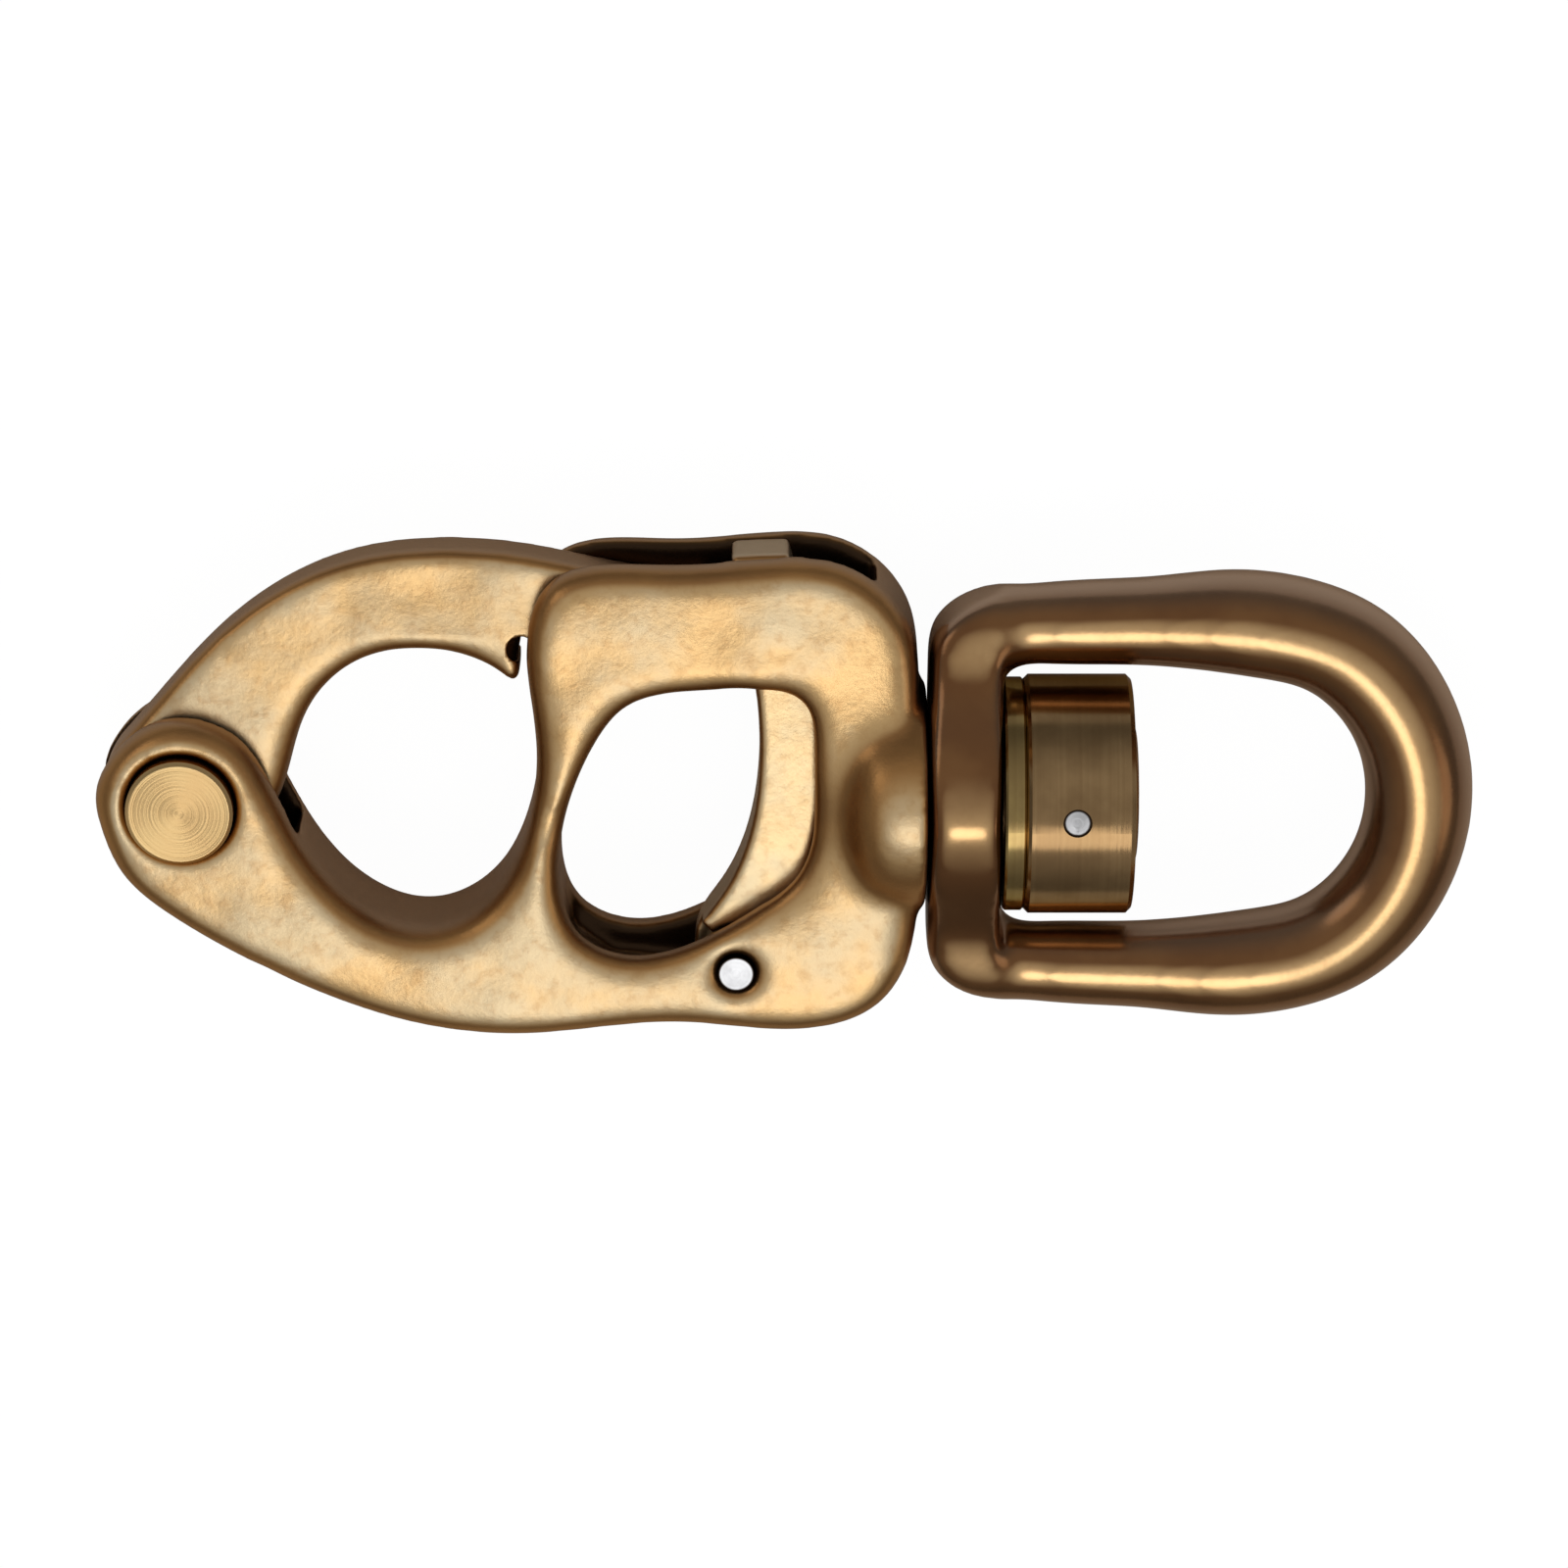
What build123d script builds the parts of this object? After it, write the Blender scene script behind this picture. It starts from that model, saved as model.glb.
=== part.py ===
from build123d import *
import math
import os

# Trigger snap shackle with a swivel bail, all sizes in millimetres.
# X runs along the swivel axis towards the bail, Y across the jaw, Z through the plate thickness.
# The origin is the middle of the jaw, on the swivel axis, half way through the thickness.

# body casting
plate_t = 7.4
slot_w = 3.65
outer_round = 1.4
inner_round = 0.8
hinge_x = -12.08
hinge_y = 0.37
ear_r = 4.6
ear_flat = 0.16
body_top = 13.88
body_foot = -12.84
end_wall_t = 2.35
jaw_r = 6.82
boss_r = 6.1
boss_dome_l = 3.7
boss_set_back = 1.1
hole_left_x = 7.85

# fits and clearances
side_gap = 0.15
pin_gap = 0.04
running_gap = 0.06
thread_gap = 0.02
swing_gap = 0.25

# hinge pin and gate
hinge_pin_r = 2.85
hinge_pin_proud = 0.68
hinge_pin_chamfer = 0.18
hinge_hole_round = 0.6
knuckle_r = 4.4
heel_room_r = 3.6
gate_stop_deg = 222.0
gate_round = 0.6
gate_nose_low = 8.95
barb_x = 5.84
barb_round = 0.3
gate_nose_high = 12.2
nose_reach = 30.1
tongue_floor = 8.75

# trigger and its pin
hook_gap = 0.33
hook_l = 3.0
hook_to_pin = 0.2
trigger_y = -9.0
trigger_pin_r = 0.95
trigger_pin_sink = 0.12
countersink_r = 1.45
countersink_depth = 0.5
trigger_foot_r = 2.3
trigger_round = 0.35
pocket_l = 8.35
pocket_lip = 0.8

# trigger spring
wire_d = 0.46
coil_total_deg = 660
coil_pitch = 0.5
coil_mean_r = 1.5
coil_low_z = 0.25
leg_top_y = 13.1
leg_gap = 0.68

# swivel stud, washer and nut
bearing_r = 4.0
thread_r = 3.8
shoulder_l = 0.44
bail_wall_t = 3.95
washer_r = 6.25
washer_t = 1.12
nut_r = 6.4
nut_l = 5.72
nut_chamfer = 0.25
stud_proud = 0.3
lock_pin_r = 0.76
lock_pin_turn = 5.0
lock_pin_sink = 0.12

# swivel bail
bail_half_w = 9.55
bail_lean = 0.08
root_flare = 0.36
bail_mid_w = 9.74
bail_end_w = 9.58
bail_r_root = 2.14
bail_r_mid = 2.4
bail_r_end = 2.88
bail_straight_l = 17.5
bail_bend_l = 8.82
crown_corner_l = 6.0
crown_corner_w = 3.6
crown_boss_z = 6.1
crown_round = 0.9

half_t = plate_t / 2
half_slot = slot_w / 2
leaf_t = slot_w - 2 * side_gap
hinge = Vector(hinge_x, hinge_y)
nose_angle_low = math.asin((gate_nose_low - hinge_y) / nose_reach)
nose_angle_high = math.asin((gate_nose_high - hinge_y) / nose_reach)
hook_left_x = hinge_x + nose_reach * math.cos(nose_angle_low) + hook_gap
hook_right_x = hook_left_x + hook_l
trigger_x = hook_left_x + hook_to_pin
pivot = Vector(trigger_x, trigger_y)
pocket_left_x = hook_left_x - pocket_lip
pocket_right_x = pocket_left_x + pocket_l
hole_l = trigger_x + 4 - hole_left_x
body_end_x = pocket_right_x + end_wall_t
boss_dome_x = body_end_x - boss_set_back
shoulder_x = body_end_x + shoulder_l
bail_face_x = shoulder_x + running_gap
bail_bend_x = bail_face_x + bail_straight_l
bail_inner_x = bail_face_x + bail_wall_t
washer_x = bail_inner_x + running_gap
nut_x = washer_x + washer_t
stud_end_x = nut_x + nut_l + stud_proud
lock_pin_x = nut_x + nut_l * 0.46


def around(centre, radius, degrees):
    """Point at an angle on a circle in the XY plane."""
    turn = math.radians(degrees)
    return (centre.X + radius * math.cos(turn), centre.Y + radius * math.sin(turn))


def plate(profile, thickness, z_mid=0.0):
    """Flat solid with the profile's outline, centred on a height."""
    return extrude(Pos(0, 0, z_mid - thickness / 2) * profile, amount=thickness, dir=(0, 0, 1))


def rod_x(radius, x_from, x_to):
    """Round bar along the swivel axis."""
    return Plane(origin=(x_from, 0, 0), z_dir=(1, 0, 0)) * extrude(Circle(radius), amount=x_to - x_from)


def edges_at(shape, height):
    """Edges of a flat solid that lie wholly at one height."""
    found = ShapeList()
    for edge in shape.edges():
        box = edge.bounding_box()
        if abs(box.min.Z - height) < 1e-4 and abs(box.max.Z - height) < 1e-4:
            found.append(edge)
    return found


# body: a C-shaped plate with two ears, a slotted housing and the swivel stud, cast as one
ear_points = [around(hinge, ear_r, angle) for angle in (40, 70, 100)]
ear_points += [around(hinge, ear_r - ear_flat, angle) for angle in (128, 148)]
ear_points += [around(hinge, ear_r, angle) for angle in (172, 200)]
arm_points = [
    (-15.42, -3.6),
    (-12.83, -6.06),
    (-7.72, -9.14),
    (-1.0, -11.95),
    (6.1, body_foot),
    (trigger_x - 3.0, -12.18),
    (trigger_x + 3.1, -12.6),
]
corner_low = [(body_end_x - 2.0, -11.1), (body_end_x - 0.35, -8.2), (body_end_x, -5.0)]
corner_high = [
    (body_end_x, 6.5),
    (body_end_x - 0.44, 9.95),
    (body_end_x - 1.92, 12.2),
    (body_end_x - 4.4, 13.65),
]
top_points = [(body_end_x - 8.0, body_top), (14.0, 13.52), (10.2, 13.55), (7.7, 12.7), (6.4, 10.2)]
jaw_points = [
    (6.45, 6.4),
    (6.75, 3.0),
    (6.02, -1.75),
    (4.13, -5.15),
    (0.7, -jaw_r),
    (-2.95, -5.4),
    (-5.97, -1.6),
    (-7.3, 1.1),
]
outline = ear_points + arm_points + corner_low + corner_high + top_points + jaw_points
outer = make_face(Wire([Spline(*outline, periodic=True)]))

# finger hole: each point as a share of the hole's length, and its height
finger_shares = [
    (0.502, 6.58),
    (0.874, 6.56),
    (0.959, 6.1),
    (0.996, 3.0),
    (1, -1.0),
    (0.941, -3.55),
    (0.777, -5.55),
    (0.546, -7.4),
    (0.264, -8.2),
    (0.071, -6.9),
    (0, -4.1),
    (0.019, -1.1),
    (0.083, 1.73),
    (0.182, 4.35),
    (0.312, 6.05),
]
finger_points = [(hole_left_x + share * hole_l, y) for share, y in finger_shares]
finger_hole = make_face(Wire([Spline(*finger_points, periodic=True)]))

# one cheek of the body, with rounded rims and a countersunk hole for the trigger pin
cheek_t = half_t - half_slot
hinge_hole = Pos(hinge.X, hinge.Y) * Circle(hinge_pin_r)
trigger_hole = Pos(pivot.X, pivot.Y) * Circle(trigger_pin_r)
cheek_face = outer - finger_hole - hinge_hole - trigger_hole
cheek = plate(cheek_face, cheek_t, half_slot + cheek_t / 2)
cheek = fillet(edges_at(cheek, half_t).sort_by(SortBy.LENGTH)[-1], outer_round)
cheek = fillet(edges_at(cheek, half_t).sort_by(SortBy.LENGTH)[-2], inner_round)
hinge_rim = edges_at(cheek, half_t).filter_by(GeomType.CIRCLE).sort_by(SortBy.RADIUS)[-1]
cheek = fillet(hinge_rim, hinge_hole_round)
cheek -= Pos(pivot.X, pivot.Y, half_t - countersink_depth / 2) * Cone(
    trigger_pin_r, countersink_r, countersink_depth
)

# core of the body between the cheeks, cut away where gate and trigger move
fork_cut = make_face(
    Polyline(
        (hinge.X, hinge.Y),
        around(hinge, 14, gate_stop_deg),
        (-26, -9),
        (-26, 12),
        (-2, 12),
        (hinge.X + 5.5, hinge.Y),
        close=True,
    )
)
fork_cut += Pos(hinge.X, hinge.Y) * Circle(knuckle_r + swing_gap)
fork_cut += Pos(hinge.X + 2.5, hinge.Y - 1.05) * Circle(heel_room_r)

tongue_cut = Pos((pocket_left_x - 2) / 2, tongue_floor + 5) * Rectangle(pocket_left_x + 2, 10)
pocket_cut = make_face(
    Polyline(
        (pocket_left_x, tongue_floor - 2),
        (pocket_left_x, 16),
        (pocket_right_x, 16),
        (pocket_right_x, 2),
        (trigger_x + 6.2, trigger_y + 3.0),
        (trigger_x + 2.3, trigger_y - 1.1),
        (trigger_x, trigger_y - 1.1),
        (trigger_x - 3.1, -10.0),
        (hole_left_x + 2.75, -9.7),
        (hole_left_x + 0.55, -8.0),
        (hole_left_x + 0.1, -5.0),
        (hole_left_x + 0.75, -1.0),
        (pocket_left_x - 0.3, -1.0),
        close=True,
    )
)
pocket_cut += Pos(pivot.X, pivot.Y) * Circle(trigger_foot_r + swing_gap)
core = plate(outer - finger_hole - fork_cut - tongue_cut - pocket_cut, slot_w)
body = cheek + core + mirror(cheek, Plane.XY)

# stud turned in one with a round boss that swells out of the plate
dome_start = (boss_dome_x - boss_dome_l, 0)
dome_side = (boss_dome_x - boss_dome_l * math.cos(math.radians(45)), boss_r * math.sin(math.radians(45)))
dome_end = (boss_dome_x, boss_r)
dome = Spline(dome_start, dome_side, dome_end, tangents=[(0, 1), (1, 0)])
steps = Polyline(
    dome_end,
    (shoulder_x, boss_r),
    (shoulder_x, bearing_r),
    (nut_x - 0.1, bearing_r),
    (nut_x - 0.1, thread_r),
    (stud_end_x - 0.25, thread_r),
    (stud_end_x, thread_r - 0.25),
    (stud_end_x, 0),
    dome_start,
)
stud_profile = make_face(Wire([dome] + list(steps.edges())))
lock_hole = Pos(lock_pin_x, 0, 0) * Rot(-lock_pin_turn, 0, 0) * Cylinder(lock_pin_r, nut_r * 3)
stud = revolve(stud_profile, Axis.X) - plate(pocket_cut, slot_w) - lock_hole
body += stud

# hinge pin pressed into the ears
pin_l = plate_t + 2 * hinge_pin_proud
hinge_pin = Cylinder(hinge_pin_r, pin_l)
hinge_pin = chamfer(hinge_pin.edges().filter_by(GeomType.CIRCLE), hinge_pin_chamfer)
hinge_pin = Pos(hinge.X, hinge.Y) * hinge_pin

# gate: knuckle, bowed arm with a barb, and a tongue that lies in the housing slot
heel_start = around(hinge, knuckle_r, 135)
heel_mid = around(hinge, knuckle_r, 235)
heel_end = around(hinge, knuckle_r, -28)
nose_low = around(hinge, nose_reach, math.degrees(nose_angle_low))
nose_mid = around(hinge, nose_reach, math.degrees((nose_angle_low + nose_angle_high) / 2))
nose_high = around(hinge, nose_reach, math.degrees(nose_angle_high))
gate_outline = [
    ThreePointArc(heel_start, heel_mid, heel_end),
    Spline(
        heel_end,
        (-6.85, 0.6),
        (-5.68, 4.42),
        (-3.12, 7.45),
        (0.6, 8.4),
        (3.6, 7.76),
        (5.25, 6.85),
        (6.6, 5.9),
    ),
    Line((6.6, 5.9), nose_low),
    ThreePointArc(nose_low, nose_mid, nose_high),
    Spline(
        nose_high,
        (11.5, 12.6),
        (6.2, 13.69),
        (1.6, 14.01),
        (-3.4, 13.26),
        (-9.53, 9.7),
        (-13.03, 6.01),
        heel_start,
    ),
]
gate = plate(make_face(Wire(gate_outline)), leaf_t)
half_leaf = leaf_t / 2
gate_edges = ShapeList()
for edge in edges_at(gate, half_leaf) + edges_at(gate, -half_leaf):
    if edge.center().X < 12 and edge.length > 10:
        gate_edges.append(edge)
gate = fillet(gate_edges, gate_round)
barb_cut = make_face(
    Polyline(
        (barb_x, gate_nose_low - 4),
        (barb_x + 0.06, gate_nose_low),
        (hinge_x + nose_reach + 1, gate_nose_low),
        (hinge_x + nose_reach + 1, gate_nose_low - 4),
        close=True,
    )
)
gate -= plate(barb_cut, plate_t)
barb_edges = ShapeList()
for edge in gate.edges():
    size = edge.bounding_box().size
    upright = size.X < 0.01 and size.Y < 0.01
    if upright and abs(edge.center().X - barb_x) < 0.1 and edge.center().Y < gate_nose_low - 0.5:
        barb_edges.append(edge)
gate = fillet(barb_edges, barb_round)
gate -= Pos(hinge.X, hinge.Y) * Cylinder(hinge_pin_r + pin_gap, plate_t)

# trigger: curved lever on its pin, with a hook head flush with the housing top
foot_left = around(pivot, trigger_foot_r, 170)
foot_low = around(pivot, trigger_foot_r, 270)
foot_right = around(pivot, trigger_foot_r, 0)
head_right = (hook_right_x, body_top - 0.05)
head_left = (hook_left_x, body_top - 0.15)
trigger_outline = [
    ThreePointArc(foot_left, foot_low, foot_right),
    Spline(
        foot_right,
        (trigger_x + 3.8, -4.5),
        (trigger_x + 4.7, 1.5),
        (trigger_x + 4.1, 8.0),
        head_right,
    ),
    Line(head_right, head_left),
    Line(head_left, (hook_left_x + 0.15, 10.4)),
    Spline(
        (hook_left_x + 0.15, 10.4),
        (trigger_x + 1.0, 6.6),
        (trigger_x + 1.25, 2.6),
        (trigger_x + 0.7, -1.75),
        (trigger_x - 0.85, -5.35),
        (trigger_x - 1.9, -6.95),
        foot_left,
    ),
]
trigger = plate(make_face(Wire(trigger_outline)), leaf_t)
trigger = fillet(edges_at(trigger, half_leaf) + edges_at(trigger, -half_leaf), trigger_round)
trigger -= Pos(pivot.X, pivot.Y) * Cylinder(trigger_pin_r + pin_gap, plate_t)
trigger -= Pos(pivot.X, pivot.Y, (coil_low_z + half_slot) / 2) * Cylinder(
    trigger_foot_r + 0.5, half_slot - coil_low_z
)
trigger_pin = Pos(pivot.X, pivot.Y) * Cylinder(trigger_pin_r, plate_t - 2 * trigger_pin_sink)

# trigger spring: a short leg down to the pocket floor, a coil on the pin, a long leg behind the trigger
wire_r = wire_d / 2
coil_start_z = coil_low_z + 0.1 + wire_r
coil_step = 30
spring_points = [(pivot.X + coil_mean_r, pivot.Y - trigger_foot_r + 0.4, coil_start_z)]
for angle in range(0, coil_total_deg + 1, coil_step):
    x, y = around(pivot, coil_mean_r, angle)
    spring_points.append((x, y, coil_start_z + coil_pitch * angle / 360))
coil_end_z = coil_start_z + coil_pitch * coil_total_deg / 360
spring_points += [
    (trigger_x + 3.0, -8.5, coil_end_z),
    (trigger_x + 4.25, -5.0, coil_end_z),
    (trigger_x + 5.2, 0.6, coil_end_z),
    (trigger_x + 4.55, 8.6, coil_end_z),
    (hook_right_x + leg_gap, leg_top_y, coil_end_z),
]
spring_path = Spline(*spring_points)
spring = sweep(Plane(spring_path @ 0, z_dir=spring_path % 0) * Circle(wire_r), path=spring_path)

# thrust washer, nut and the pin that locks the nut on the stud
washer = rod_x(washer_r, washer_x, nut_x - 0.02)
washer = chamfer(washer.edges().filter_by(GeomType.CIRCLE), 0.12)
washer -= rod_x(bearing_r + pin_gap, washer_x - 1, nut_x + 1)
nut = rod_x(nut_r, nut_x, nut_x + nut_l)
nut = chamfer(nut.edges().filter_by(GeomType.CIRCLE), nut_chamfer)
nut -= rod_x(thread_r + thread_gap, nut_x - 1, nut_x + nut_l + 1)
nut -= lock_hole
lock_pin_l = 2 * (nut_r - lock_pin_sink)
lock_pin = Pos(lock_pin_x, 0, 0) * Rot(-lock_pin_turn, 0, 0) * Cylinder(lock_pin_r, lock_pin_l)

# bail: a crown that the stud passes through and a bowed bar of round section
bars = (
    (bail_inner_x - 0.5, bail_half_w - 0.3, bail_r_root - 0.02),
    (bail_inner_x, bail_half_w - root_flare, bail_r_root + root_flare),
    (bail_inner_x + 0.5, bail_half_w - 0.4 * root_flare, bail_r_root + 0.4 * root_flare),
    (bail_inner_x + 1.4, bail_half_w, bail_r_root + 0.02),
    (bail_inner_x + 2.9, bail_half_w + 0.07, bail_r_root + 0.08),
    ((bail_inner_x + bail_bend_x) / 2 + 1.2, bail_mid_w, bail_r_mid),
)
sections = []
for x, y, radius in bars:
    sections.append((x, -y, (1, 0, 0), radius))
for angle in (-90, -60, -30, 0, 30, 60, 90):
    turn = math.radians(angle)
    x = bail_bend_x + bail_bend_l * math.cos(turn)
    y = bail_end_w * math.sin(turn)
    direction = (-bail_bend_l * math.sin(turn), bail_end_w * math.cos(turn), 0)
    sections.append((x, y, direction, bail_r_end))
for x, y, radius in reversed(bars):
    sections.append((x, y, (-1, 0, 0), radius))
lean = bail_lean / (bail_bend_x - bail_face_x)
bow = loft(
    [
        Plane(origin=(x, y - lean * (x - bail_face_x), 0), x_dir=(0, 0, 1), z_dir=direction) * Circle(radius)
        for x, y, direction, radius in sections
    ]
)
end_y = bail_half_w - 0.06
tip_y = end_y + bail_r_root
flank = [
    (end_y + bail_r_root * 0.62, bail_r_root * 0.93),
    (end_y - 2.2, bail_r_root * 1.42),
    (3.3, crown_boss_z * 0.93),
]
arch = flank + [(0, crown_boss_z)] + [(-y, z) for y, z in reversed(flank)]
lens_points = [(tip_y, 0)] + arch + [(-tip_y, 0)] + [(-y, -z) for y, z in arch]
lens = make_face(Wire([Spline(*lens_points, periodic=True)]))
lens = Plane(origin=(bail_face_x, 0, 0), x_dir=(0, 1, 0), z_dir=(1, 0, 0)) * lens
crown = extrude(lens, amount=bail_wall_t, dir=(1, 0, 0))
wall_y = tip_y + 0.15
corner_mid = Vector(bail_face_x + crown_corner_l, wall_y - crown_corner_w)
corner_low_mid = Vector(corner_mid.X, -corner_mid.Y)
crown_side = make_face(
    Wire(
        [
            EllipticalCenterArc(corner_mid, crown_corner_l, crown_corner_w, start_angle=90, arc_size=90),
            Line((bail_face_x, corner_mid.Y), (bail_face_x, -corner_mid.Y)),
            EllipticalCenterArc(corner_low_mid, crown_corner_l, crown_corner_w, start_angle=180, arc_size=90),
            Line((corner_mid.X, -wall_y), (corner_mid.X, wall_y)),
        ]
    )
)
crown &= plate(crown_side, 20)
crown = fillet([edge for edge in crown.edges() if edge.center().X < bail_inner_x - 0.01], crown_round)
bail = crown + bow
bail -= rod_x(bearing_r + running_gap, bail_face_x - 2, bail_inner_x + 2)

os.makedirs("parts", exist_ok=True)
for name, shape in (
    ("shackle_body", body),
    ("gate", gate),
    ("gate_hinge_pin", hinge_pin),
    ("trigger", trigger),
    ("trigger_pin", trigger_pin),
    ("trigger_spring", spring),
    ("thrust_washer", washer),
    ("swivel_nut", nut),
    ("nut_lock_pin", lock_pin),
    ("swivel_bail", bail),
):
    shape.label = name
    export_step(shape, "parts/" + name + ".step")
    print(name, len(shape.solids()), round(shape.volume, 1))
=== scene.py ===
import bmesh
import bpy
import math
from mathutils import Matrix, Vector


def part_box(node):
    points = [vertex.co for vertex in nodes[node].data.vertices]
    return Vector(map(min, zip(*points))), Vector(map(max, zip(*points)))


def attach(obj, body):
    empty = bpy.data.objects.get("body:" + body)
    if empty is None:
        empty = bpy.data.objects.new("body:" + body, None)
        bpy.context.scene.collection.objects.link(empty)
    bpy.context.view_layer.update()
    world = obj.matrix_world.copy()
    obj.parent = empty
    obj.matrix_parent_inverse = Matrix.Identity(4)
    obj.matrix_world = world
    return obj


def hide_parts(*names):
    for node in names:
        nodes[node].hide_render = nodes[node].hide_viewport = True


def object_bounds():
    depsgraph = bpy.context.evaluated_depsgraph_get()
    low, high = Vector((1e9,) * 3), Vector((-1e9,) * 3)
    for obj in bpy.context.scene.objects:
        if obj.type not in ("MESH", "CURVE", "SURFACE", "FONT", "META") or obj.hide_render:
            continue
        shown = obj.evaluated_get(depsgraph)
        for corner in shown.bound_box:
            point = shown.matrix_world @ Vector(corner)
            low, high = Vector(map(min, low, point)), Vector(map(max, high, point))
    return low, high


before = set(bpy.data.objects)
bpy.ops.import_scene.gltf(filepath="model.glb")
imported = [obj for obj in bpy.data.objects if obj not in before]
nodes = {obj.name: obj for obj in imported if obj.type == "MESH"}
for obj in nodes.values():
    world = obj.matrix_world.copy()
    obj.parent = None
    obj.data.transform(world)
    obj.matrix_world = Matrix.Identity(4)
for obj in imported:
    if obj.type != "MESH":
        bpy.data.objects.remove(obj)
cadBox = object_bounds()
print("frame loaded:", len(nodes), "nodes")

mm = 0.001


def newMaterial(name):
    material = bpy.data.materials.new(name)
    material.use_nodes = True
    material.node_tree.nodes.clear()
    return material


def addNode(tree, kind, settings=None, **inputs):
    node = tree.nodes.new(kind)
    for key, value in (settings or {}).items():
        setattr(node, key, value)
    for key, value in inputs.items():
        plug(tree, node, key, value)
    return node


def plug(tree, node, key, value):  # a key such as "s0" is the socket's number, any other its name
    number = int(key[1:]) if key[0] == "s" and key[1:].isdigit() else None
    socket = node.inputs[number if number is not None else key.replace("_", " ")]
    if isinstance(value, bpy.types.NodeSocket):
        tree.links.new(value, socket)
    else:
        socket.default_value = value


def mixColour(tree, amount, low, high):
    node = addNode(tree, "ShaderNodeMix", {"data_type": "RGBA"})
    for number, value in ((0, amount), (6, low), (7, high)):
        plug(tree, node, "s%d" % number, value)
    return node.outputs[2]


def remap(tree, value, fromLow, fromHigh, toLow=0.0, toHigh=1.0):
    node = addNode(tree, "ShaderNodeMapRange", {"interpolation_type": "SMOOTHSTEP"},
                   s0=value, s1=fromLow, s2=fromHigh, s3=toLow, s4=toHigh)
    return node.outputs[0]


def maths(tree, operation, first, second=0.0):
    return addNode(tree, "ShaderNodeMath", {"operation": operation}, s0=first, s1=second).outputs[0]


def noise(tree, where, scale, detail=3.0, rough=0.5):
    node = addNode(tree, "ShaderNodeTexNoise", None,
                   Vector=where, Scale=scale, Detail=detail, Roughness=rough)
    return node.outputs["Fac"]


def rgba(colour):
    return (colour[0], colour[1], colour[2], 1.0)


# cast bronze: by the surface's tilt, level faces bright with a painted highlight, rounded edges darker with
# painted shade and walls lighter with a painted reflection; slots and crevices darkened with painted shade
# and some grime; random stains and specks
def bronze(name, look):
    material = newMaterial(name)
    tree = material.node_tree
    place = addNode(tree, "ShaderNodeTexCoord")
    where = place.outputs["Object"]
    upright = addNode(tree, "ShaderNodeSeparateXYZ", None, s0=place.outputs["Normal"]).outputs[2]
    level = maths(tree, "ABSOLUTE", upright)
    # painted light by tilt: level faces take the bright face colour, rounded edges the darker edge colour
    # as painted shade, upright walls the lighter wall colour as a painted reflection
    paintedLightByTilt = remap(tree, level, *look["litTiltRange"])
    paintedSheenByTilt = remap(tree, level, *look["wallSheenRange"])
    cloud = remap(tree, noise(tree, where, look["cloudScale"], 4.0, 0.55), *look["cloudRange"])
    speck = remap(tree, noise(tree, where, look["speckScale"], 3.0, 0.6), *look["speckRange"])
    # painted highlight: a pale sheen on level faces only, in random cloudy patches
    flat = remap(tree, level, *look["sheenRange"])
    pale = maths(tree, "MULTIPLY", maths(tree, "MULTIPLY", cloud, look["cloudAmount"]), flat)
    face = mixColour(tree, pale, rgba(look["face"]), rgba(look["paleSheen"]))
    face = mixColour(tree, maths(tree, "MULTIPLY", speck, look["speckAmount"]), face, rgba(look["stain"]))
    # painted shade on rounded edges, varied by the random cloud
    edge = mixColour(tree, cloud, rgba(look["edge"]), rgba(look["edgeWarm"]))
    colour = mixColour(tree, paintedLightByTilt, mixColour(tree, paintedSheenByTilt, rgba(look["wallSheen"]), edge), face)
    if look["slotHalf"]:  # walls inside the slot painted near black as painted shade
        height = maths(tree, "ABSOLUTE", addNode(tree, "ShaderNodeSeparateXYZ", None, s0=where).outputs[2])
        inside = remap(tree, height, look["slotHalf"] - look["slotFade"], look["slotHalf"], 1.0, 0.0)
        colour = mixColour(tree, maths(tree, "MULTIPLY", inside, paintedSheenByTilt), colour, rgba(look["slot"]))
    # painted shade with some grime: darkening in crevices and hollows found by ambient occlusion
    crevice = addNode(tree, "ShaderNodeAmbientOcclusion", {"samples": 8}, Distance=look["grimeShadeReach"])
    grimeAndShade = remap(tree, crevice.outputs["AO"], look["grimeShadeFrom"], look["grimeShadeTo"], 1.0, 0.0)
    colour = mixColour(tree, grimeAndShade, colour, rgba(look["grimeAndShade"]))
    rough = maths(tree, "ADD", look["rough"], maths(tree, "MULTIPLY", cloud, look["roughSwing"]))
    swell = addNode(tree, "ShaderNodeBump", None, Strength=1.0, Distance=look["swellDepth"],
                    Height=noise(tree, where, look["swellScale"], 1.0, 0.5))
    pits = addNode(tree, "ShaderNodeBump", None, Strength=look["bump"], Distance=look["pitDepth"],
                   Height=noise(tree, where, look["pitScale"], 4.0, 0.65), Normal=swell.outputs[0])
    shader = addNode(tree, "ShaderNodeBsdfPrincipled", None, Base_Color=colour, Metallic=1.0,
                     Roughness=rough, Specular_Tint=rgba(look["rimTint"]), Normal=pits.outputs[0])
    output = addNode(tree, "ShaderNodeOutputMaterial")
    tree.links.new(shader.outputs[0], output.inputs[0])
    return material


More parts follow.
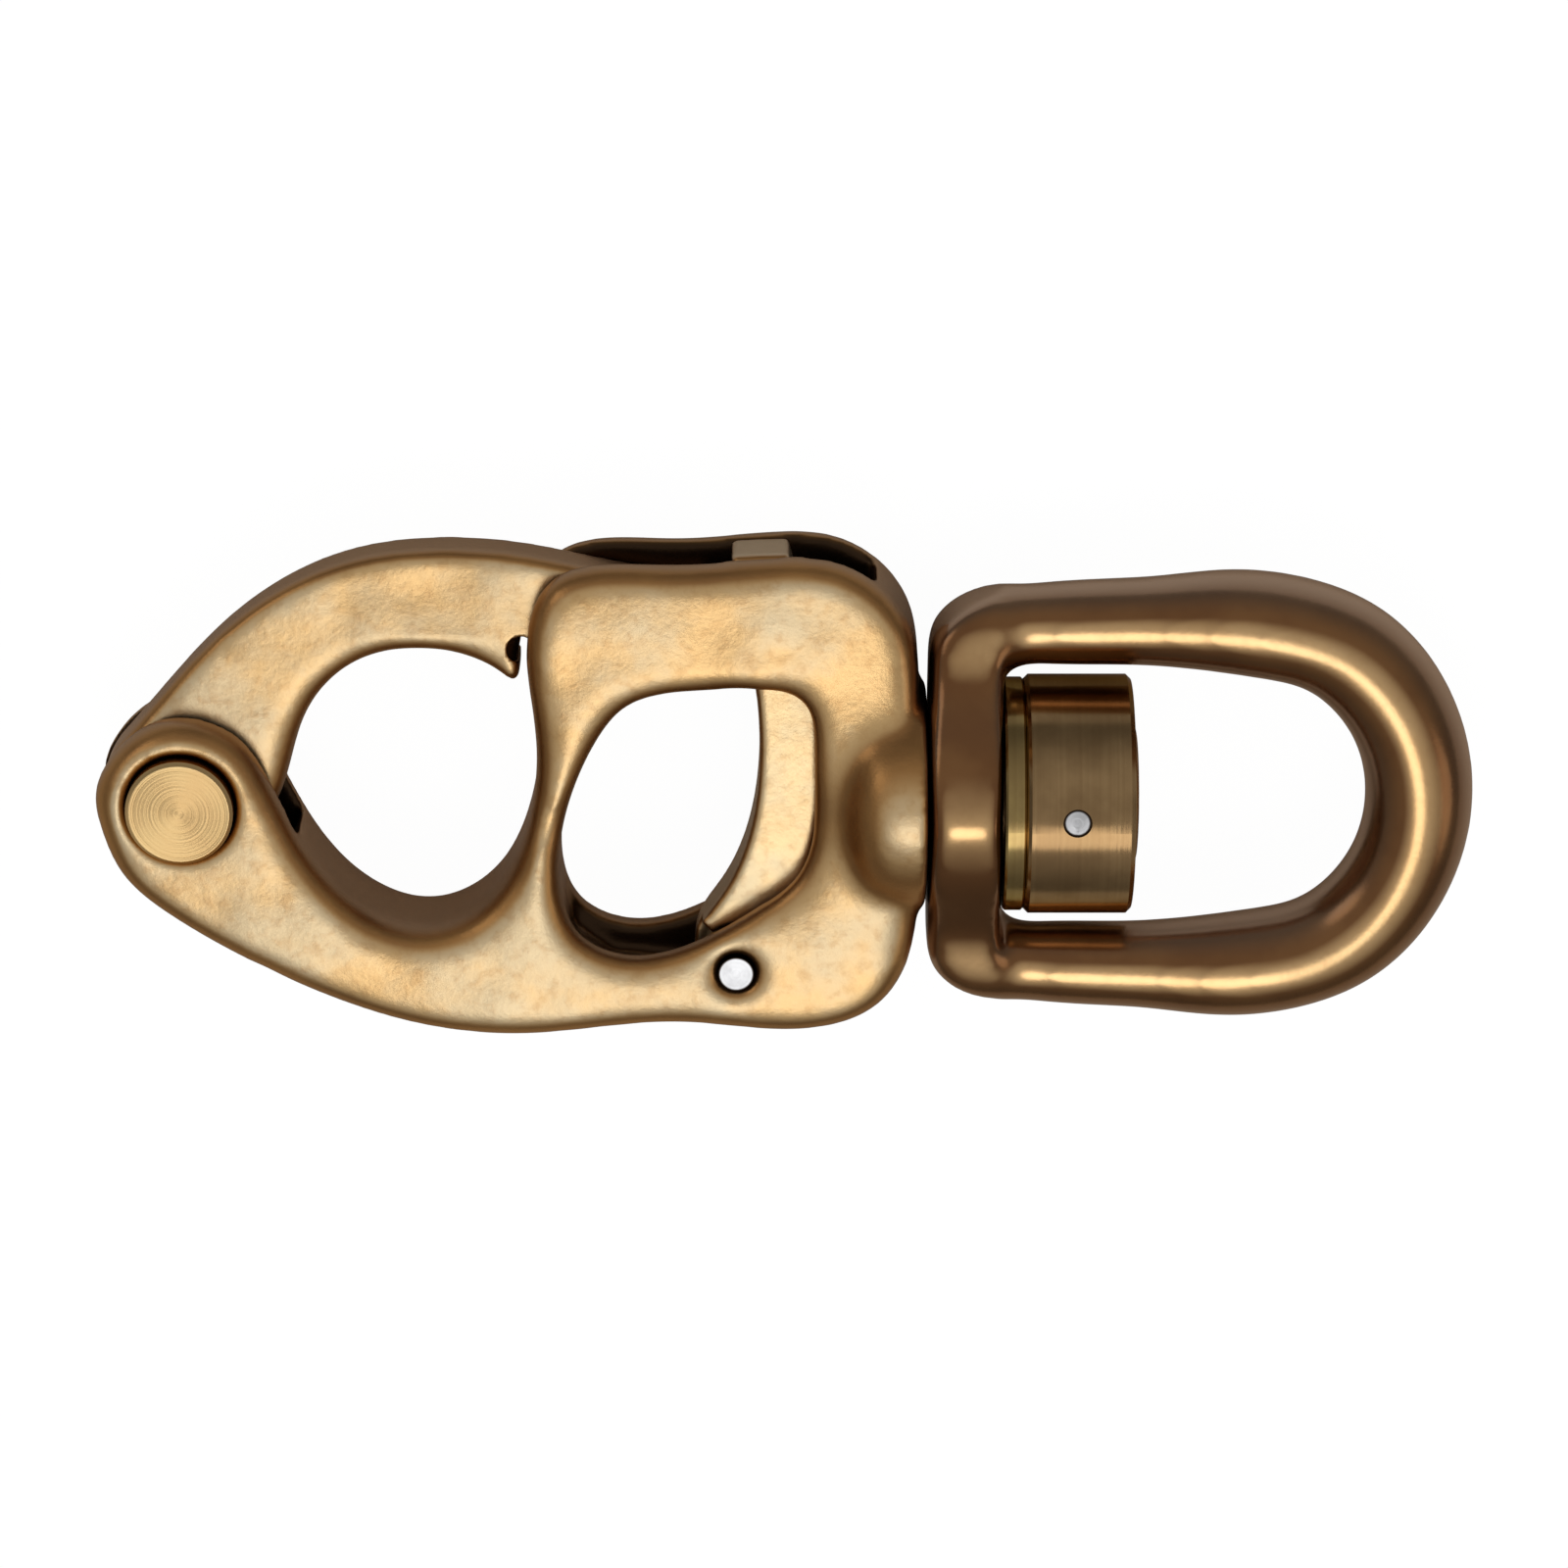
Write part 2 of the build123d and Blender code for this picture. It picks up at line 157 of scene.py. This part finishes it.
# face is the bronze colour; the pale face colour is a painted highlight, the edge colours are painted
# shade, the wall colour is a painted reflection, the slot and dirt colours are painted shade
castLook = {
    "face": (0.80, 0.52, 0.235), "paleSheen": (0.92, 0.785, 0.53), "stain": (0.56, 0.30, 0.11),
    "edge": (0.43, 0.215, 0.078), "edgeWarm": (0.52, 0.265, 0.092), "wallSheen": (0.52, 0.34, 0.21),
    "grimeAndShade": (0.035, 0.019, 0.010), "rimTint": (0.85, 0.72, 0.60), "slot": (0.05, 0.028, 0.015),
    "litTiltRange": (0.84, 0.997), "wallSheenRange": (0.08, 0.68), "sheenRange": (0.9, 0.998),  # 1 is a level face
    "cloudScale": 180.0, "cloudRange": (0.35, 0.65), "cloudAmount": 0.6,
    "speckScale": 1300.0, "speckRange": (0.45, 0.75), "speckAmount": 0.4,
    "grimeShadeReach": 2.2 * mm, "grimeShadeFrom": 0.05, "grimeShadeTo": 0.42, "slotHalf": 0.0, "slotFade": 0.3 * mm,
    "rough": 0.30, "roughSwing": 0.07, "bump": 0.28, "pitScale": 2600.0, "pitDepth": 0.06 * mm,
    "swellScale": 180.0, "swellDepth": 0.35 * mm,
}
# on the bail only the most level faces take the bright face colour, a painted highlight where the key lamp
# reflects; the rest is painted shade
bailLook = dict(castLook, face=(0.74, 0.46, 0.21), paleSheen=(0.84, 0.56, 0.28), stain=(0.46, 0.24, 0.10),
                edge=(0.22, 0.10, 0.041), edgeWarm=(0.28, 0.135, 0.054), wallSheen=(0.62, 0.43, 0.30),
                litTiltRange=(0.93, 1.0), wallSheenRange=(0.15, 0.93), grimeShadeFrom=0.05, grimeShadeTo=0.4,
                rough=0.21, roughSwing=0.03, bump=0.08, speckAmount=0.15, swellDepth=0.03 * mm)
triggerLook = dict(castLook, face=(0.86, 0.62, 0.33), paleSheen=(0.98, 0.84, 0.56), cloudScale=260.0,
                   wallSheen=(0.75, 0.60, 0.42), speckAmount=0.35, grimeShadeReach=1.2 * mm, swellDepth=0.12 * mm)


# turned metal: fine rings about an axis, given by a point on it and by which way it runs
def turned(name, look, centre, axis):
    material = newMaterial(name)
    tree = material.node_tree
    place = addNode(tree, "ShaderNodeTexCoord")
    shifted = addNode(tree, "ShaderNodeMapping", {"vector_type": "POINT"}, Vector=place.outputs["Object"],
                      Location=(-centre[0], -centre[1], -centre[2]),
                      Rotation=(math.radians(look["lean"]), 0.0, 0.0)).outputs[0]
    parts = addNode(tree, "ShaderNodeSeparateXYZ", None, s0=shifted).outputs
    if axis == "Z":  # rings on a face, by the distance from the axis
        flat = addNode(tree, "ShaderNodeCombineXYZ", None, s0=parts[0], s1=parts[1])
        radius = addNode(tree, "ShaderNodeVectorMath", {"operation": "LENGTH"}, s0=flat.outputs[0])
        along = radius.outputs["Value"]
    else:  # rings round a barrel, by the place along it
        along = parts[0]
    rings = addNode(tree, "ShaderNodeTexNoise", {"noise_dimensions": "1D"},
                    W=along, Scale=look["ringScale"], Detail=3.0).outputs["Fac"]
    patches = noise(tree, place.outputs["Object"], look["cloudScale"], 4.0, 0.55)
    cloud = remap(tree, patches, *look["cloudRange"])
    colour = mixColour(tree, rings, rgba(look["dark"]), rgba(look["light"]))
    stained = maths(tree, "MULTIPLY", cloud, look["cloudAmount"])
    colour = mixColour(tree, stained, colour, rgba(look["stain"]))
    # painted shade with some grime: darkening in crevices and gaps found by ambient occlusion
    crevice = addNode(tree, "ShaderNodeAmbientOcclusion", {"samples": 8}, Distance=look["grimeShadeReach"])
    grimeAndShade = remap(tree, crevice.outputs["AO"], look["grimeShadeFrom"], look["grimeShadeTo"], 1.0, 0.0)
    colour = mixColour(tree, grimeAndShade, colour, rgba(look["grimeAndShade"]))
    if look["rimFrom"]:  # dark ring round a pressed pin: its joint plus the painted shade of the countersink
        joint = remap(tree, along, look["rimFrom"], look["rimFrom"] + look["rimFade"])
        colour = mixColour(tree, joint, colour, rgba(look["grimeAndShade"]))
    grooves = addNode(tree, "ShaderNodeBump", None,
                      Strength=look["bump"], Distance=look["ringDepth"], Height=rings)
    around = addNode(tree, "ShaderNodeTangent", {"direction_type": "RADIAL", "axis": axis})
    shader = addNode(tree, "ShaderNodeBsdfPrincipled", None, Base_Color=colour, Metallic=1.0,
                     Roughness=look["rough"], Anisotropic=look["brushed"], Tangent=around.outputs[0],
                     Specular_Tint=rgba(look["rimTint"]), Normal=grooves.outputs[0])
    output = addNode(tree, "ShaderNodeOutputMaterial")
    tree.links.new(shader.outputs[0], output.inputs[0])
    return material


pinLook = {
    "light": (0.92, 0.66, 0.32), "dark": (0.78, 0.52, 0.22), "stain": (0.80, 0.50, 0.22),
    "grimeAndShade": (0.02, 0.012, 0.007), "rimTint": (0.7, 0.5, 0.35),
    "rimFrom": 0.0, "rimFade": 0.1 * mm,  # radius at which the dark joint and painted shade round the pin start
    "lean": 0.0,  # degrees
    "ringScale": 5200.0, "ringDepth": 0.03 * mm,
    "cloudScale": 240.0, "cloudRange": (0.35, 0.65), "cloudAmount": 0.5,
    "grimeShadeReach": 0.5 * mm, "grimeShadeFrom": 0.15, "grimeShadeTo": 0.5, "rough": 0.32, "bump": 0.3, "brushed": 0.75,
}
nutLook = dict(pinLook, light=(0.50, 0.33, 0.16), dark=(0.33, 0.20, 0.09), stain=(0.20, 0.115, 0.05),
               ringScale=3800.0, rough=0.15, brushed=0.5)
washerLook = dict(nutLook, light=(0.52, 0.38, 0.15), dark=(0.36, 0.25, 0.09))
steelLook = dict(pinLook, light=(0.82, 0.82, 0.83), dark=(0.58, 0.58, 0.59), stain=(0.40, 0.40, 0.41),
                 rimTint=(0.9, 0.9, 0.9), rimFrom=0.57 * mm, rough=0.28, cloudScale=900.0)
triggerPinLook = dict(steelLook, rimFrom=0.82 * mm)
lockPinLook = dict(steelLook, lean=5.0)
springLook = dict(steelLook, light=(0.45, 0.44, 0.42), dark=(0.35, 0.34, 0.33), rimFrom=0.0, brushed=0.0)


def centreOf(node):
    low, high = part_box(node)
    return [(a + b) / 2 for a, b in zip(low, high)]


# cast pieces get a skin with softened corners, as a casting has
def castSkin(name, look):
    mould = bpy.data.objects.new("mould", nodes[name].data.copy())
    if "pad" in look:
        addPad(mould.data, **look["pad"])
    piece = bpy.data.objects.new(look["piece"], mould.data)
    bpy.context.scene.collection.objects.link(mould)
    bpy.context.scene.collection.objects.link(piece)
    remesh = piece.modifiers.new("remesh", "REMESH")
    remesh.mode = "VOXEL"
    remesh.voxel_size = look["voxel"] * mm
    remesh.use_smooth_shade = True
    wrap = piece.modifiers.new("wrap", "SHRINKWRAP")
    wrap.target = mould
    wrap.wrap_method = "NEAREST_SURFACEPOINT"
    applyModifiers(piece)
    bpy.data.objects.remove(mould)
    if "ridge" in look:
        raiseRidge(piece, **look["ridge"])
    even = piece.modifiers.new("even", "SMOOTH")
    even.factor = 0.5
    even.iterations = look["evenSteps"]
    applyModifiers(piece)
    for start, end, reach, steps in look.get("blends", ()):
        softenNear(piece, start, end, reach, steps)
    if "bite" in look:
        carveBite(piece, *look["bite"])
    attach(piece, look["body"])
    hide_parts(name)
    print("skin", name, len(piece.data.polygons), "faces")
    return piece


def applyModifiers(piece):
    shaped = piece.evaluated_get(bpy.context.evaluated_depsgraph_get())
    mesh = bpy.data.meshes.new_from_object(shaped)
    piece.modifiers.clear()
    piece.data = mesh


# arc of metal round the coil's room, so that the blade runs on down to the rim of the finger hole
def addPad(mesh, middle, inner, outer, low, high, fromAngle, toAngle):
    shape = bmesh.new()
    shape.from_mesh(mesh)
    sections = []
    steps = 24
    corners = ((inner, low), (outer, low), (outer, high), (inner, high))
    for step in range(steps + 1):
        angle = math.radians(fromAngle + (toAngle - fromAngle) * step / steps)
        sections.append([shape.verts.new((middle[0] * mm + radius * mm * math.cos(angle),
                                          middle[1] * mm + radius * mm * math.sin(angle), height * mm))
                         for radius, height in corners])
    for near, far in zip(sections, sections[1:]):
        for side in range(4):
            after = (side + 1) % 4
            shape.faces.new((near[side], near[after], far[after], far[side]))
    shape.faces.new(sections[0])
    shape.faces.new(reversed(sections[-1]))
    shape.to_mesh(mesh)
    shape.free()


def raiseRidge(piece, start, end, fade, halfWidth, peak, foot, share):  # planes the crown down to a ridge
    for vertex in piece.data.vertices:
        across = abs(vertex.co.y)
        line = peak * mm + (foot * mm - peak * mm) * across / (halfWidth * mm)
        over = abs(vertex.co.z) - line
        past = max(start * mm - vertex.co.x, vertex.co.x - end * mm, 0.0)
        if across < halfWidth * mm and over > 0 and past < fade * mm:
            vertex.co.z -= math.copysign(over * share * (1.0 - past / (fade * mm)), vertex.co.z)


def carveBite(piece, *bite):  # round notch straight through the thickness
    middleX, middleY, radius = (size * mm for size in bite)
    for vertex in piece.data.vertices:
        gap = math.hypot(vertex.co.x - middleX, vertex.co.y - middleY)
        if 0.0 < gap < radius:
            vertex.co.x = middleX + (vertex.co.x - middleX) * radius / gap
            vertex.co.y = middleY + (vertex.co.y - middleY) * radius / gap


# extra smoothing inside a box, fading out over the reach
def softenNear(piece, start, end, reach, steps):
    group = piece.vertex_groups.new(name="soften")
    for vertex in piece.data.vertices:
        gap = max(max(low * mm - place, place - high * mm, 0.0)
                  for place, low, high in zip(vertex.co, start, end))
        if gap < reach * mm:
            group.add([vertex.index], 1.0 - gap / (reach * mm), "REPLACE")
    soften = piece.modifiers.new("soften", "SMOOTH")
    soften.factor = 0.5
    soften.iterations = steps
    soften.vertex_group = "soften"
    applyModifiers(piece)
    piece.vertex_groups.clear()


# sizes in millimetres; a blend is two corners of a box, how far it fades out, and its smoothing steps
skins = {
    "shackle_body": {
        "piece": "castBody", "body": "body", "slot": "body_bronze", "voxel": 0.24, "evenSteps": 3,
        "blends": [((-3.0, -20.0, -4.0), (27.0, 20.0, 4.0), 4.0, 22),  # housing
                   ((-7.0, -8.0, 2.0), (5.0, -2.0, 4.0), 1.8, 50),  # lower side of the jaw
                   ((7.5, -9.0, 2.0), (21.0, 7.2, 4.0), 1.0, 60),  # rim of the finger hole
                   ((20.6, -6.6, 2.6), (25.0, 6.6, 5.4), 2.0, 90),  # foot of the boss, front and back
                   ((20.6, -6.6, -5.4), (25.0, 6.6, -2.6), 2.0, 90)],
    },
    "gate": {
        "piece": "castGate", "body": "gate", "slot": "gate_bronze", "voxel": 0.2, "evenSteps": 24,
        "blends": [((-9.0, -1.0, 1.0), (4.2, 8.3, 1.8), 1.0, 120),  # jaw side, front and back
                   ((-9.0, -1.0, -1.8), (4.2, 8.3, -1.0), 1.0, 120)],
        "bite": (5.95, 8.6, 0.75),  # notch at the barb: x, y and radius
    },
    "trigger": {
        "piece": "castTrigger", "body": "trigger", "slot": "trigger_bronze", "voxel": 0.16, "evenSteps": 10,
        "pad": {"middle": (17.301, -9.0), "inner": 2.0, "outer": 2.95, "low": 0.1, "high": 1.665,
                "fromAngle": 35.0, "toAngle": 130.0},
    },
    "swivel_bail": {
        "piece": "forgedBail", "body": "bail", "slot": "bail_bronze", "voxel": 0.22, "evenSteps": 24,
        "ridge": {"start": 26.0, "end": 31.4, "fade": 1.2, "halfWidth": 7.3, "peak": 6.15, "foot": 3.0,
                  "share": 0.6},
        "blends": [((27.5, -9.0, 1.5), (31.5, 9.0, 7.0), 2.5, 45),  # crown, front and back
                   ((27.5, -9.0, -7.0), (31.5, 9.0, -1.5), 2.5, 45)],
    },
}
finishes = {
    "shackle_body": bronze("castBodyBronze", dict(castLook, slotHalf=2.2 * mm)),
    "gate": bronze("castGateBronze", dict(castLook, cloudScale=170.0)),
    "trigger": bronze("castTriggerBronze", triggerLook),
    "swivel_bail": bronze("polishedBailBronze", bailLook),
    "gate_hinge_pin": turned("turnedPinBronze", pinLook, centreOf("gate_hinge_pin"), "Z"),
    "trigger_pin": turned("triggerPinSteel", triggerPinLook, centreOf("trigger_pin"), "Z"),
    "trigger_spring": turned("springWire", springLook, centreOf("trigger_spring"), "Z"),
    "thrust_washer": turned("washerBrass", washerLook, centreOf("thrust_washer"), "X"),
    "swivel_nut": turned("nutBronze", nutLook, centreOf("swivel_nut"), "X"),
    "nut_lock_pin": turned("lockPinSteel", lockPinLook, centreOf("nut_lock_pin"), "Z"),
}
for name, material in finishes.items():
    piece = castSkin(name, skins[name]) if name in skins else nodes[name]
    for materialSlot in piece.material_slots:
        materialSlot.material = material
    if not piece.material_slots:
        piece.data.materials.append(material)
print("finishes given:", len(finishes))

# pale floor, three soft lamps and a dome, sizes in metres
studio = {
    "middleX": 0.02, "floorSize": 4.0, "floorColour": 0.8, "floorWhite": 0.88, "floorGlow": 1.1,
    "zenith": 0.45, "horizon": 0.17, "domeRange": (0.1, 0.95),
    "keyEnergy": 0.248, "keySize": 0.24, "keyAt": (0.03, -0.25, 0.54),
    "leftEnergy": 0.16, "leftSize": 0.3, "leftAt": (-0.45, 0.30, 0.35),
    "rightEnergy": 0.12, "rightSize": 0.25, "rightAt": (0.50, -0.15, 0.30),
}


def layFloor(height):
    bpy.ops.mesh.primitive_plane_add(size=studio["floorSize"], location=(studio["middleX"], 0.0, height))
    floor = bpy.context.active_object
    floor.name = "studioFloor"
    material = newMaterial("paleFloor")
    tree = material.node_tree
    matt = addNode(tree, "ShaderNodeBsdfDiffuse", None, Color=rgba([studio["floorColour"]] * 3))
    white = addNode(tree, "ShaderNodeEmission", None, Color=(1, 1, 1, 1), Strength=studio["floorGlow"])
    path = addNode(tree, "ShaderNodeLightPath").outputs
    share = maths(tree, "MULTIPLY", path["Is Camera Ray"], studio["floorWhite"])
    blend = addNode(tree, "ShaderNodeMixShader", None, s0=share, s1=matt.outputs[0], s2=white.outputs[0])
    output = addNode(tree, "ShaderNodeOutputMaterial")
    tree.links.new(blend.outputs[0], output.inputs[0])
    floor.data.materials.append(material)


def hangLamp(name):
    lamp = bpy.data.lights.new(name, "AREA")
    lamp.shape = "DISK"
    lamp.size = studio[name + "Size"]
    lamp.energy = studio[name + "Energy"]
    holder = bpy.data.objects.new(name + "Softbox", lamp)
    bpy.context.scene.collection.objects.link(holder)
    holder.location = studio[name + "At"]
    aim = holder.location.copy()
    aim.x -= studio["middleX"]
    holder.rotation_euler = aim.to_track_quat("Z", "Y").to_euler()


def hangDome():  # a studio that is bright overhead and dark round the horizon
    world = bpy.data.worlds.new("studioWorld")
    world.use_nodes = True
    tree = world.node_tree
    ray = addNode(tree, "ShaderNodeTexCoord").outputs["Generated"]
    height = addNode(tree, "ShaderNodeSeparateXYZ", None, s0=ray).outputs[2]
    level = remap(tree, height, *studio["domeRange"], studio["horizon"], studio["zenith"])
    tree.links.new(level, tree.nodes["Background"].inputs["Strength"])
    tree.nodes["Background"].inputs["Color"].default_value = (1.0, 1.0, 1.0, 1.0)
    bpy.context.scene.world = world


layFloor(cadBox[0][2])
for name in ("key", "left", "right"):
    hangLamp(name)
hangDome()
bpy.context.scene.view_settings.view_transform = "Standard"

view = {"tilt": math.radians(19.5), "distance": 300 * mm, "target": (19.86 * mm, 0.52 * mm, 0.0),
        "width": math.radians(15.91)}
lens = bpy.data.cameras.new("shackleView")
lens.sensor_width = 36.0
lens.lens = lens.sensor_width / 2 / math.tan(view["width"] / 2)
camera = bpy.data.objects.new("shackleView", lens)
bpy.context.scene.collection.objects.link(camera)
camera.location = (view["target"][0],
                   view["target"][1] + view["distance"] * math.sin(view["tilt"]),
                   view["target"][2] + view["distance"] * math.cos(view["tilt"]))
camera.rotation_euler = (-view["tilt"], 0.0, 0.0)
bpy.context.scene.camera = camera
print("studio set")
